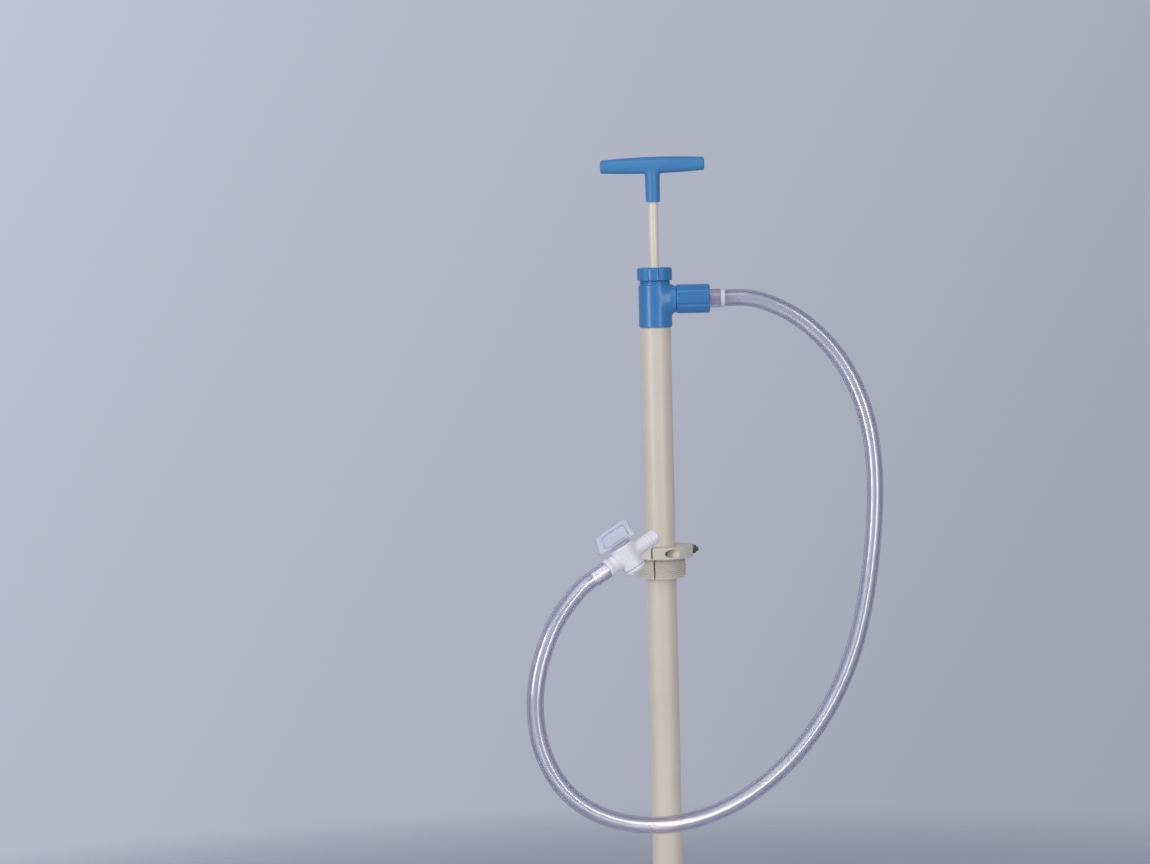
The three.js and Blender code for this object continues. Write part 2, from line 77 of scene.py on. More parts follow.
# ------------------------------------------------------------------ node materials
class Mat:
    """Builds one Principled material with small node helpers."""

    def __init__(self, name):
        self.m = bpy.data.materials.new(name)
        self.m.use_nodes = True
        self.t = self.m.node_tree
        self.b = self.t.nodes["Principled BSDF"]
        self.co = self.t.nodes.new("ShaderNodeTexCoord").outputs["Object"]

    def node(self, kind, **values):
        n = self.t.nodes.new(kind)
        for k, v in values.items():
            if k in n.inputs:
                n.inputs[k].default_value = v
            else:
                setattr(n, k, v)
        return n

    def link(self, a, b):
        self.t.links.new(a, b)

    def noise(self, scale, detail=4.0, rough=0.55, stretch=None, w=None):
        n = self.node("ShaderNodeTexNoise", Scale=scale, Detail=detail, Roughness=rough)
        src = self.co
        if stretch is not None or w is not None:
            mp = self.node("ShaderNodeMapping")
            if stretch is not None:
                mp.inputs["Scale"].default_value = stretch
            if w is not None:
                mp.inputs["Location"].default_value = w
            self.link(src, mp.inputs["Vector"])
            src = mp.outputs["Vector"]
        self.link(src, n.inputs["Vector"])
        return n.outputs["Fac"]

    def ramp(self, fac, stops):
        r = self.node("ShaderNodeValToRGB")
        e = r.color_ramp.elements
        while len(e) < len(stops):
            e.new(0.5)
        for el, (pos, col) in zip(e, stops):
            el.position = pos
            el.color = (*col, 1.0) if len(col) == 3 else col
        self.link(fac, r.inputs["Fac"])
        return r.outputs["Color"]

    def span(self, fac, lo, hi, a=0.3, b=0.7):
        r = self.node("ShaderNodeMapRange")
        for k, v in (("From Min", a), ("From Max", b), ("To Min", lo), ("To Max", hi)):
            r.inputs[k].default_value = v
        self.link(fac, r.inputs["Value"])
        return r.outputs["Result"]

    def mix(self, fac, a, b, blend="MIX"):
        n = self.node("ShaderNodeMix", data_type="RGBA", blend_type=blend)
        for sock, v in ((n.inputs[0], fac), (n.inputs[6], a), (n.inputs[7], b)):
            if isinstance(v, bpy.types.NodeSocket):
                self.link(v, sock)
            else:
                sock.default_value = v
        return n.outputs[2]

    def bump(self, height, strength, distance, normal=None):
        n = self.node("ShaderNodeBump", Strength=strength, Distance=distance)
        self.link(height, n.inputs["Height"])
        if normal is not None:
            self.link(normal, n.inputs["Normal"])
        return n.outputs["Normal"]

    def set(self, **values):
        for k, v in values.items():
            key = k.replace("_", " ")
            sock = self.b.inputs[key]
            if isinstance(v, bpy.types.NodeSocket):
                self.link(v, sock)
            else:
                sock.default_value = v
        return self.m


def lin(r, g, b):
    """sRGB 0-255 to linear."""
    out = []
    for c in (r, g, b):
        c /= 255.0
        out.append(c / 12.92 if c <= 0.04045 else ((c + 0.055) / 1.055) ** 2.4)
    return tuple(out)


def scale3(c, k):
    return tuple(min(1.0, x * k) for x in c)


def moulded(name, rgb, rough, grain=0.35, sss=0.0, coat=0.0, vary=0.06, spec=0.5, edge=0.0):
    """Injection-moulded plastic: faint flow marks, fine grain, handling scuffs and paler edges."""
    m = Mat(name)
    c = lin(*rgb)
    flow = m.noise(38.0, 5.0, 0.6, stretch=(1.0, 1.0, 0.45))
    base = m.ramp(flow, [(0.3, scale3(c, 1.0 - vary)), (0.7, scale3(c, 1.0 + vary))])
    specks = m.noise(900.0, 2.0, 0.5)
    base = m.mix(m.span(specks, 0.0, 0.10), base, (*scale3(c, 0.8), 1.0))
    if edge > 0:
        g = m.node("ShaderNodeNewGeometry")
        worn = m.span(g.outputs["Pointiness"], 0.0, edge, 0.505, 0.56)
        base = m.mix(worn, base, (*scale3(tuple(x + 0.12 for x in c), 1.25), 1.0))
    scuff = m.noise(160.0, 6.0, 0.7, stretch=(1.0, 1.0, 0.12))
    fine = m.noise(2600.0, 3.0, 0.5)
    waves = m.noise(70.0, 3.0, 0.5)
    n = m.bump(waves, 0.045, 0.0010)
    n = m.bump(fine, grain * 0.25, 0.00006, n)
    return m.set(Base_Color=base, Roughness=m.span(scuff, rough - 0.05, rough + 0.07), Normal=n,
                 Subsurface_Weight=sss, Subsurface_Radius=(0.004, 0.003, 0.0025), Subsurface_Scale=1.0,
                 Coat_Weight=coat, Coat_Roughness=0.12, Specular_IOR_Level=spec)


def extruded(name, rgb, rough, long_axis=2):
    """Extruded pipe: fine die lines along its length and a soft, slightly uneven gloss."""
    m = Mat(name)
    c = lin(*rgb)
    stretch = [1.0, 1.0, 1.0]
    stretch[long_axis] = 0.012
    lines = m.noise(420.0, 4.0, 0.6, stretch=tuple(stretch))
    cloud = m.noise(14.0, 4.0, 0.6)
    base = m.ramp(cloud, [(0.3, scale3(c, 0.965)), (0.7, scale3(c, 1.035))])
    base = m.mix(m.span(lines, 0.0, 0.16), base, (*scale3(c, 0.90), 1.0))
    fine = m.noise(1800.0, 2.0, 0.5)
    n = m.bump(lines, 0.12, 0.00012)
    n = m.bump(fine, 0.05, 0.00005, n)
    return m.set(Base_Color=base, Roughness=m.span(lines, rough - 0.04, rough + 0.06), Normal=n,
                 Subsurface_Weight=0.06, Subsurface_Radius=(0.003, 0.0025, 0.002), Subsurface_Scale=1.0)


def steel(name, rgb, rough, spin=None):
    m = Mat(name)
    c = lin(*rgb)
    stain = m.noise(240.0, 5.0, 0.65)
    base = m.ramp(stain, [(0.32, scale3(c, 0.72)), (0.68, scale3(c, 1.12))])
    g = m.node("ShaderNodeNewGeometry")
    worn = m.span(g.outputs["Pointiness"], 0.0, 0.5, 0.51, 0.60)
    base = m.mix(worn, base, (*scale3(c, 1.6), 1.0))
    brushed = m.noise(1500.0, 3.0, 0.6, stretch=(1.0, 0.15, 1.0))
    n = m.bump(brushed, 0.18, 0.00005)
    return m.set(Base_Color=base, Metallic=1.0, Roughness=m.span(stain, rough - 0.08, rough + 0.10), Normal=n)


def rubber(name, rgb):
    m = Mat(name)
    c = lin(*rgb)
    bloom = m.noise(120.0, 5.0, 0.6)
    base = m.ramp(bloom, [(0.3, scale3(c, 0.8)), (0.75, scale3(c, 1.5))])
    fine = m.noise(1500.0, 4.0, 0.6)
    return m.set(Base_Color=base, Roughness=m.span(bloom, 0.55, 0.75), Normal=m.bump(fine, 0.3, 0.0001), Specular_IOR_Level=0.35)


def clear_pvc(name, rgb, rough=0.10, milk=0.22, ior=1.33):
    """Clear flexible vinyl: see-through, faintly milky, with long extrusion streaks, and painted darker lilac shade
    along its glancing edges.
    """
    m = Mat(name)
    c = lin(*rgb)
    cloud = m.noise(26.0, 4.0, 0.6)
    base = m.ramp(cloud, [(0.3, scale3(c, 0.96)), (0.7, scale3(c, 1.04))])
    streak = m.noise(300.0, 3.0, 0.5)
    # painted shade: a Layer Weight facing mask darkens the glancing edges and tints them lilac, standing in for the
    # dark surroundings seen through the wall by refraction
    glancing_shade_weight = m.node("ShaderNodeLayerWeight", Blend=0.5)
    base = m.mix(m.span(glancing_shade_weight.outputs["Facing"], 0.0, 1.0, 0.10, 0.58), base, (c[0] * 0.46, c[1] * 0.43, c[2] * 0.60, 1.0))
    base = m.mix(m.span(streak, 0.0, 0.06), base, (*scale3(c, 0.85), 1.0))
    return m.set(Base_Color=base, Roughness=m.span(cloud, rough - 0.02, rough + 0.03), IOR=ior,
                 Transmission_Weight=1.0 - milk, Specular_IOR_Level=0.5, Coat_Weight=1.0, Coat_Roughness=0.16, Coat_IOR=1.85)


M = {
    "adapter": moulded("adapter_plastic", (216, 210, 194), 0.42, sss=0.08, vary=0.035, edge=0.25),
    "tube": extruded("tube_plastic", (222, 214, 196), 0.36),
    "rod": extruded("rod_plastic", (232, 226, 207), 0.30),
    "gloss": moulded("blue_gloss", (60, 130, 191), 0.31, coat=0.10, vary=0.05, edge=0.18),
    "satin": moulded("blue_satin", (66, 138, 196), 0.42, vary=0.05, edge=0.18),
    "steel": steel("screw_steel", (120, 122, 128), 0.34),
    "white": moulded("white_plastic", (236, 234, 242), 0.33, sss=0.15, vary=0.02),
    "natural": moulded("natural_plastic", (240, 239, 247), 0.34, sss=0.20, vary=0.02),
    "rubber": rubber("seal_rubber", (38, 38, 42)),
    "ball": steel("ball_steel", (176, 178, 182), 0.16),
    "hose": clear_pvc("clear_hose", (245, 244, 250), 0.03, 0.02, 1.20),
    "stub": clear_pvc("clear_stub", (243, 241, 249), 0.03, 0.03, 1.18),
}
conn_mat = Mat("connector_plastic")
_cn = conn_mat.noise(70.0, 4.0, 0.6)
# the collar is whiter than the barbed ends, which go glassy inside the vinyl
_cx = conn_mat.node("ShaderNodeSeparateXYZ")
conn_mat.link(conn_mat.co, _cx.inputs[0])
_cs = conn_mat.ramp(conn_mat.span(_cx.outputs[0], 0.0, 1.0, 0.0760, 0.0857),
                    [(0.20, (0.78,) * 3), (0.26, (0.15,) * 3), (0.75, (0.15,) * 3), (0.81, (0.78,) * 3)])
_clear = conn_mat.node("ShaderNodeSeparateXYZ")
conn_mat.link(_cs, _clear.inputs[0])
_clear = _clear.outputs[0]
M["conn"] = conn_mat.set(
    Base_Color=conn_mat.ramp(_cn, [(0.3, lin(232, 230, 243)), (0.7, lin(240, 238, 248))]), IOR=1.20,
    Roughness=conn_mat.span(_cn, 0.20, 0.28), Normal=conn_mat.bump(_cn, 0.08, 0.0003), Transmission_Weight=_clear,
    Coat_Weight=0.6, Coat_Roughness=0.12)
key_mat = Mat("key_plastic")
_kn = key_mat.noise(60.0, 4.0, 0.6)
_kf = key_mat.noise(1500.0, 3.0, 0.5)
M["key"] = key_mat.set(
    Base_Color=key_mat.ramp(_kn, [(0.3, lin(222, 224, 243)), (0.7, lin(236, 237, 250))]),
    Roughness=key_mat.span(_kf, 0.32, 0.44), Normal=key_mat.bump(_kf, 0.12, 0.00008), IOR=1.25,
    Transmission_Weight=0.55, Coat_Weight=0.5, Coat_Roughness=0.12, Subsurface_Weight=0.0)


# ------------------------------------------------------------------ profiles and lathes (millimetres)
def fil(points, n=5):
    """Rounds the corners of a closed outline; each point is (x, y) or (x, y, radius)."""
    out, count = [], len(points)
    for i, p in enumerate(points):
        P = np.array(p[:2], float)
        r = p[2] if len(p) > 2 else 0.0
        A, B = np.array(points[i - 1][:2], float), np.array(points[(i + 1) % count][:2], float)
        la, lb = np.linalg.norm(A - P), np.linalg.norm(B - P)
        if r <= 0 or la < 1e-9 or lb < 1e-9:
            out.append((P[0], P[1]))
            continue
        u, v = (A - P) / la, (B - P) / lb
        ang = math.acos(max(-1.0, min(1.0, float(u @ v))))
        if math.pi - ang < 2e-3:
            out.append((P[0], P[1]))
            continue
        t = min(r / math.tan(ang / 2), 0.48 * la, 0.48 * lb)
        r = t * math.tan(ang / 2)
        c = P + (u + v) / np.linalg.norm(u + v) * (r / math.sin(ang / 2))
        p0, p1 = P + u * t - c, P + v * t - c
        a0, a1 = math.atan2(p0[1], p0[0]), math.atan2(p1[1], p1[0])
        da = (a1 - a0 + math.pi) % (2 * math.pi) - math.pi
        for k in range(n + 1):
            a = a0 + da * k / n
            out.append((c[0] + r * math.cos(a), c[1] + r * math.sin(a)))
    return out


def supported(points, closed, reach=0.3, longest=1e9):
    """Adds a point near both ends of each long run, so that smooth shading stays flat on it."""
    out, count = [], len(points)
    for i in range(count if closed else count - 1):
        a, b = np.array(points[i]), np.array(points[(i + 1) % count])
        out.append(tuple(a))
        length = float(np.linalg.norm(b - a))
        stops = []
        if length > 4 * reach:
            stops = [reach / length, 1 - reach / length]
            inner = int(length // longest)
            stops = [stops[0]] + [stops[0] + (stops[1] - stops[0]) * k / (inner + 1) for k in range(1, inner + 1)] + [stops[1]]
        out.extend(tuple(a + (b - a) * s) for s in stops)
    if not closed:
        out.append(tuple(points[-1]))
    return out


def aim(direction, hint):
    z = Vector(direction).normalized()
    x = (Vector(hint) - z * Vector(hint).dot(z)).normalized()
    y = z.cross(x)
    return Matrix((x, y, z)).transposed().to_4x4()


ALONG_X = Matrix.Translation((0, 0, 309.7)) @ Matrix.Rotation(math.pi / 2, 4, "Y")


def piece(name, verts, faces, mat, body, nodes, frame_m=None, normals=None):
    """Makes a shown piece from millimetre vertices, rides it on its body and hides the parts it replaces."""
    v = np.asarray(verts, float)
    if frame_m is not None:
        r = np.array(frame_m)[:3, :3]
        v = v @ r.T + np.array(frame_m)[:3, 3]
        if normals is not None:
            normals = normals @ r.T
    me = bpy.data.meshes.new(name)
    me.from_pydata((v * MM).tolist(), [], [tuple(int(i) for i in f) for f in faces])
    me.validate(clean_customdata=False)
    me.update()
    for p in me.polygons:
        p.use_smooth = True
    if normals is not None and len(normals) == len(me.vertices):
        me.normals_split_custom_set_from_vertices([tuple(n) for n in normals])
    me.materials.append(M[mat])
    o = bpy.data.objects.new(name, me)
    scene.collection.objects.link(o)
    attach(o, body)
    if nodes:
        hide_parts(*nodes)
    return o


def lathe_mesh(profile, seg, longest=1e9, reach=0.3):
    """Revolves a closed outline, or one that starts and ends on the axis, about Z."""
    on_axis = abs(profile[0][0]) < 1e-9 and abs(profile[-1][0]) < 1e-9
    pts = supported(list(profile), not on_axis, reach, longest)
    area = 0.0
    for i in range(len(pts)):
        (x0, y0), (x1, y1) = pts[i], pts[(i + 1) % len(pts)]
        area += x0 * y1 - x1 * y0
    if area < 0:
        pts = pts[::-1]
    ang = np.arange(seg) * 2 * math.pi / seg
    verts, rings = [], []
    for r, z in pts:
        if abs(r) < 1e-9:
            rings.append([len(verts)])
            verts.append((0.0, 0.0, z))
        else:
            rings.append(list(range(len(verts), len(verts) + seg)))
            verts.extend((r * math.cos(a), r * math.sin(a), z) for a in ang)
    faces, n = [], len(rings)
    for i in range(n - 1 if on_axis else n):
        a, b = rings[i], rings[(i + 1) % n]
        for k in range(seg):
            k2 = (k + 1) % seg
            if len(a) == 1 and len(b) == 1:
                continue
            if len(a) == 1:
                faces.append((a[0], b[k2], b[k]))
            elif len(b) == 1:
                faces.append((a[k], a[k2], b[0]))
            else:
                faces.append((a[k], a[k2], b[k2], b[k]))
    return verts, faces


def lathe(name, profile, seg, mat, body, nodes, frame_m=None, longest=1e9):
    v, f = lathe_mesh(profile, seg, longest)
    return piece(name, v, f, mat, body, nodes, frame_m)


# ------------------------------------------------------------------ distance fields and their meshes
def poly2(x, y, pts):
    """Signed distance to a closed outline, negative inside."""
    pts = np.asarray(pts, float)
    d = np.full(np.shape(x), 1e18)
    s = np.ones(np.shape(x))
    for i in range(len(pts)):
        ax, ay = pts[i]
        bx, by = pts[i - 1]
        ex, ey = bx - ax, by - ay
        ll = ex * ex + ey * ey
        if ll < 1e-18:
            continue
        wx, wy = x - ax, y - ay
        t = np.clip((wx * ex + wy * ey) / ll, 0, 1)
        d = np.minimum(d, (wx - ex * t) ** 2 + (wy - ey * t) ** 2)
        c1, c2, c3 = y >= ay, y < by, ex * wy > ey * wx
        s = np.where((c1 & c2 & c3) | (~c1 & ~c2 & ~c3), -s, s)
    return s * np.sqrt(d)


class Table:
    """An outline's signed distance on a fine grid, read back smoothly: quick for many points."""

    def __init__(self, pts, step=0.12, pad=7.0, xmin=None):
        p = np.asarray(pts, float)
        self.x0 = (0.0 if xmin is None else xmin) - 2 * step
        self.y0 = p[:, 1].min() - pad
        x1, y1 = p[:, 0].max() + pad, p[:, 1].max() + pad
        self.h = step
        xs = self.x0 + step * np.arange(int((x1 - self.x0) / step) + 2)
        ys = self.y0 + step * np.arange(int((y1 - self.y0) / step) + 2)
        X, Y = np.meshgrid(xs, ys, indexing="ij")
        self.d = poly2(X, Y, pts)

    def __call__(self, x, y):
        i, j = (x - self.x0) / self.h, (y - self.y0) / self.h
        ci = np.clip(i, 0, self.d.shape[0] - 1.001)
        cj = np.clip(j, 0, self.d.shape[1] - 1.001)
        out = np.hypot(i - ci, j - cj) * self.h
        a, b = ci.astype(int), cj.astype(int)
        u, v = ci - a, cj - b
        d = self.d
        return (d[a, b] * (1 - u) * (1 - v) + d[a + 1, b] * u * (1 - v) + d[a, b + 1] * (1 - u) * v + d[a + 1, b + 1] * u * v) + out


def rU(a, b, r):
    return np.maximum(r, np.minimum(a, b)) - np.hypot(np.maximum(r - a, 0), np.maximum(r - b, 0))


def rI(a, b, r):
    return np.minimum(-r, np.maximum(a, b)) + np.hypot(np.maximum(r + a, 0), np.maximum(r + b, 0))


def rS(a, b, r):
    return rI(a, -b, r)


def nets(f, lo, hi, h, relax=2):
    """Surface net of f = 0, pulled onto the surface; returns vertices, quads and unit normals."""
    h = np.ones(3) * np.asarray(h, float)
    lo = np.array(lo, float) - 1.363 * h
    n = [int(math.ceil((hi[i] + 1.5 * h[i] - lo[i]) / h[i])) + 1 for i in range(3)]
    ax = [lo[i] + h[i] * np.arange(n[i]) for i in range(3)]
    F = np.empty(n)
    for i in range(0, n[0], 24):
        X, Y, Z = np.meshgrid(ax[0][i:i + 24], ax[1], ax[2], indexing="ij")
        F[i:i + 24] = f(X, Y, Z)
    F[F == 0] = 1e-9
    ins = F < 0
    cnt = np.zeros([k - 1 for k in n], np.int8)
    corners = [(a, b, c) for a in (0, 1) for b in (0, 1) for c in (0, 1)]

    def sl(arr, o):
        return arr[o[0]:o[0] + n[0] - 1, o[1]:o[1] + n[1] - 1, o[2]:o[2] + n[2] - 1]

    for o in corners:
        cnt += sl(ins, o)
    cell = np.argwhere((cnt > 0) & (cnt < 8))
    idx = np.full(cnt.shape, -1, np.int64)
    idx[tuple(cell.T)] = np.arange(len(cell))
    acc, wt = np.zeros((len(cell), 3)), np.zeros(len(cell))
    for axis in range(3):
        for o in corners:
            if o[axis]:
                continue
            q = list(o)
            q[axis] = 1
            a = F[cell[:, 0] + o[0], cell[:, 1] + o[1], cell[:, 2] + o[2]]
            b = F[cell[:, 0] + q[0], cell[:, 1] + q[1], cell[:, 2] + q[2]]
            cross = (a < 0) != (b < 0)
            t = np.where(cross, a / np.where(cross, a - b, 1), 0)
            pos = np.tile(np.array(o, float), (len(cell), 1))
            pos[:, axis] += t
            acc += pos * cross[:, None]
            wt += cross
    P = lo + (cell + acc / wt[:, None]) * h
    quads = []
    for axis in range(3):
        u, v = (axis + 1) % 3, (axis + 2) % 3
        s0 = [slice(None)] * 3
        s1 = [slice(None)] * 3
        s0[axis], s1[axis] = slice(0, -1), slice(1, None)
        e = np.argwhere(ins[tuple(s0)] != ins[tuple(s1)])
        e = e[(e[:, u] > 0) & (e[:, v] > 0) & (e[:, u] < n[u] - 1) & (e[:, v] < n[v] - 1)]
        du, dv = np.zeros(3, int), np.zeros(3, int)
        du[u], dv[v] = 1, 1
        ring = [idx[tuple((e - du - dv).T)], idx[tuple((e - dv).T)], idx[tuple(e.T)], idx[tuple((e - du).T)]]
        Q = np.stack(ring, 1)
        inside_first = ins[tuple(e.T)]
        Q[~inside_first] = Q[~inside_first][:, ::-1]
        quads.append(Q)
    Q = np.concatenate(quads)
    Q = Q[(Q >= 0).all(1)]
    E = np.concatenate([Q[:, [0, 1]], Q[:, [1, 2]], Q[:, [2, 3]], Q[:, [3, 0]]])
    deg = np.bincount(E.ravel(), minlength=len(P)).astype(float)
    deg[deg == 0] = 1

    def grad(p, e=0.02):
        g = np.empty_like(p)
        for k in range(3):
            d = np.zeros(3)
            d[k] = e
            g[:, k] = (f(*(p + d).T) - f(*(p - d).T)) / (2 * e)
        return g

    def pull(p):
        v, g = f(*p.T), grad(p)
        step = (v / np.maximum((g * g).sum(1), 0.05))[:, None] * g
        length = np.linalg.norm(step, axis=1)
        return p - step * np.minimum(1.0, 0.5 * h.min() / np.maximum(length, 1e-9))[:, None]

    P = pull(P)
    for _ in range(relax):
        S = np.zeros_like(P)
        for k in range(3):
            S[:, k] = np.bincount(E[:, 0], P[E[:, 1], k], len(P)) + np.bincount(E[:, 1], P[E[:, 0], k], len(P))
        P = pull(P * 0.5 + S / deg[:, None] * 0.5)
    P = pull(pull(P))
    N = grad(P)
    N /= np.maximum(np.linalg.norm(N, axis=1), 1e-9)[:, None]
    return P, Q, N


def solid(name, f, lo, hi, h, mat, body, nodes, frame_m=None, relax=2):
    P, Q, N = nets(f, lo, hi, h, relax)
    return piece(name, P, Q, mat, body, nodes, frame_m, N)


def polar_solid(name, f, facing, lo, hi, h, mat, body, nodes, radius=29.0):
    """The same, on a grid bent round Z (arc length, radius, height), for turned and threaded shapes."""
    def g(u, v, w):
        th = facing + u / radius
        return f(v * np.cos(th), v * np.sin(th), w)
    P, Q, N = nets(g, lo, hi, h)
    th, r = facing + P[:, 0] / radius, P[:, 1:2]
    around = np.stack([-np.sin(th), np.cos(th), 0 * th], 1)
    outward = np.stack([np.cos(th), np.sin(th), 0 * th], 1)
    V, W = outward * r, around * (N[:, :1] * radius / r) + outward * N[:, 1:2]
    V[:, 2], W[:, 2] = P[:, 2], N[:, 2]
    W /= np.linalg.norm(W, axis=1)[:, None]
    return piece(name, V, Q[:, ::-1], mat, body, nodes, None, W)


# ------------------------------------------------------------------ stopcock frame
COCK_C = Vector((-43.5, -172.0, 20.3))
COCK_U = Vector((0.802, 0.341, 0.491)).normalized()
COCK_V = Vector((-0.522, 0.0, 0.853)).normalized()
UM = Matrix.Translation(COCK_C) @ aim(COCK_U, COCK_V)
VM = Matrix.Translation(COCK_C) @ aim(COCK_V, COCK_U)

# ------------------------------------------------------------------ discharge hose
HOSE_POINTS = [
    (83.6, 0, 309.7), (95, 0, 309.7), (104, 0, 309.6), (124.2, -0.3, 306.4), (161.4, -2.5, 289.8), (193.3, -6.9, 264.6),
    (218.9, -12.9, 233.3), (237.5, -20, 197.6), (249.1, -27.7, 159.2), (254.4, -35.8, 119.4),
    (254.9, -44.5, 79.4), (252.2, -53.8, 39.7), (247.2, -64, 0.3), (240.3, -75.1, -38.5),
    (230.8, -87.1, -76.4), (218, -99.7, -113.2), (201.3, -112.8, -148.2), (180.6, -126, -180.9),
    (155.8, -139.2, -210.8), (127.3, -152.2, -237), (95.2, -164.9, -259), (59.9, -176.9, -275.8),
    (21.9, -188, -286.1), (-17.7, -197.7, -288.6), (-57.2, -205.7, -282.2), (-94.1, -211.8, -265.8),
    (-124.1, -215.7, -238.6), (-143.3, -217.7, -202.6), (-151.9, -218.5, -162.7), (-150.9, -218.1, -121.9),
    (-141, -214.9, -82.3), (-124, -207.5, -46)]
HOSE_POINTS += [tuple(COCK_C - COCK_U * s) for s in (62, 50, 40, 29.6)]


def smooth_path(points, per=24):
    """Centripetal Catmull-Rom through the points."""
    p = np.array(points, float)
    p = np.vstack([2 * p[0] - p[1], p, 2 * p[-1] - p[-2]])
    out = []
    for i in range(1, len(p) - 2):
        a, b, c, d = p[i - 1:i + 3]
        t0 = 0.0
        t1 = t0 + np.linalg.norm(b - a) ** 0.5
        t2 = t1 + np.linalg.norm(c - b) ** 0.5
        t3 = t2 + np.linalg.norm(d - c) ** 0.5
        for t in np.linspace(t1, t2, per, endpoint=False):
            A1 = (t1 - t) / (t1 - t0) * a + (t - t0) / (t1 - t0) * b
            A2 = (t2 - t) / (t2 - t1) * b + (t - t1) / (t2 - t1) * c
            A3 = (t3 - t) / (t3 - t2) * c + (t - t2) / (t3 - t2) * d
            B1 = (t2 - t) / (t2 - t0) * A1 + (t - t0) / (t2 - t0) * A2
            B2 = (t3 - t) / (t3 - t1) * A2 + (t - t1) / (t3 - t1) * A3
            out.append((t2 - t) / (t2 - t1) * B1 + (t - t1) / (t2 - t1) * B2)
    out.append(p[-2])
    return np.array(out)


raw = smooth_path(HOSE_POINTS)
arc = np.r_[0, np.cumsum(np.linalg.norm(np.diff(raw, axis=0), axis=1))]
HOSE_LEN = float(arc[-1])
# even stations every millimetre, smoothed lightly so that the curvature runs on without kinks
fine_s = np.linspace(0, HOSE_LEN, int(HOSE_LEN) + 1)
fine = np.stack([np.interp(fine_s, arc, raw[:, k]) for k in range(3)], 1)
for _ in range(60):
    mid = fine.copy()
    mid[1:-1] = 0.25 * fine[:-2] + 0.5 * fine[1:-1] + 0.25 * fine[2:]
    mid[:24], mid[-24:] = fine[:24], fine[-24:]
    fine = mid
station = np.unique(np.r_[np.arange(0, 26, 1.0), np.arange(26, HOSE_LEN - 26, 3.0), np.arange(HOSE_LEN - 26, HOSE_LEN, 1.0), HOSE_LEN])
centre = np.stack([np.interp(station, fine_s, fine[:, k]) for k in range(3)], 1)
tan = np.gradient(centre, axis=0)
tan /= np.linalg.norm(tan, axis=1)[:, None]
side = np.array([0.0, 1.0, 0.0])
frames = []
for t in tan:
    side = side - t * (side @ t)
    side /= np.linalg.norm(side)
    frames.append((side.copy(), np.cross(t, side)))


def bulge(s, at, width, amount):
    return amount * np.exp(-((s - at) / width) ** 2)


def hose_outer(s):
    e = HOSE_LEN - s
    r = 10.0 + bulge(s, 5.5, 2.6, 0.25) + bulge(s, 12.5, 2.8, 0.30) + bulge(e, 6.0, 2.8, 0.30) + bulge(e, 15.5, 3.2, 0.40)
    return r - 0.25 * math.exp(-s / 0.5) - 0.25 * math.exp(-e / 0.5)


def hose_inner(s):
    e = HOSE_LEN - s
    return 7.55 + bulge(s, 5.5, 2.6, 0.20) + bulge(s, 12.5, 2.8, 0.25) + bulge(e, 6.0, 2.8, 0.25) + bulge(e, 15.5, 3.2, 0.30)


SIDES = 44
verts, faces, hose_normals = [], [], []
for which in (0, 1):
    for c, (a, b), s in zip(centre, frames, station):
        r = hose_outer(s) if which == 0 else hose_inner(s)
        for k in range(SIDES):
            q = 2 * math.pi * k / SIDES
            n = a * math.cos(q) + b * math.sin(q)
            verts.append(c + n * r)
            hose_normals.append(n if which == 0 else -n)
NS = len(centre)


def ring_at(which, i, k):
    return (which * NS + i) * SIDES + k % SIDES


for i in range(NS - 1):
    for k in range(SIDES):
        faces.append((ring_at(0, i, k), ring_at(0, i, k + 1), ring_at(0, i + 1, k + 1), ring_at(0, i + 1, k)))
        faces.append((ring_at(1, i, k + 1), ring_at(1, i, k), ring_at(1, i + 1, k), ring_at(1, i + 1, k + 1)))
for k in range(SIDES):
    faces.append((ring_at(1, 0, k), ring_at(1, 0, k + 1), ring_at(0, 0, k + 1), ring_at(0, 0, k)))
    faces.append((ring_at(0, NS - 1, k), ring_at(0, NS - 1, k + 1), ring_at(1, NS - 1, k + 1), ring_at(1, NS - 1, k)))
hose = piece("clear_discharge_hose", verts, faces, "hose", "pump", ["discharge_hose"], normals=np.array(hose_normals))
hose.visible_shadow = False

# ------------------------------------------------------------------ tube, rod and round pieces
TUBE = fil([(15, -673), (18, -673, 0.4), (18, 276.3, 0.3), (16.9, 276.3), (16.9, 299, 0.4), (15, 299, 0.3)])
lathe("pump_tube_pipe", TUBE, 96, "tube", "pump", ["pump_tube"], longest=45)

ROD = fil([(0, -531.7), (6, -531.7, 0.6), (6, -29.4), (9, -27.4, 0.5), (9, -17.4, 1.0), (6, -17.4), (6, 451.7, 0.6), (0, 451.7)])
lathe("piston_rod_bar", [p for p in ROD], 56, "rod", "rod", ["piston_rod"], longest=40)

lathe("tube_end_seal", fil([(15, 299.3, 0.2), (16.9, 299.3, 0.2), (16.9, 300.6, 0.2), (15, 300.6, 0.2)]), 64, "rubber", "pump", ["tube_seal"])
lathe("rod_lip_seal", fil([(6.3, 330.3, 0.3), (10.7, 330.3, 0.4), (10.7, 337.9, 0.4), (8.9, 337.9, 0.3), (8.9, 335, 0.5), (6.9, 335, 0.3), (6.3, 336, 0.1)]), 56, "rubber", "pump", ["rod_seal"])
lathe("rod_guide_bush", fil([(6.3, 338.2, 0.3), (10.7, 338.2, 0.3), (10.7, 343.9, 0.3), (7.7, 343.9, 0.3), (7.7, 348.7, 0.4), (6.3, 348.7, 0.2)]), 56, "white", "pump", ["rod_guide"])

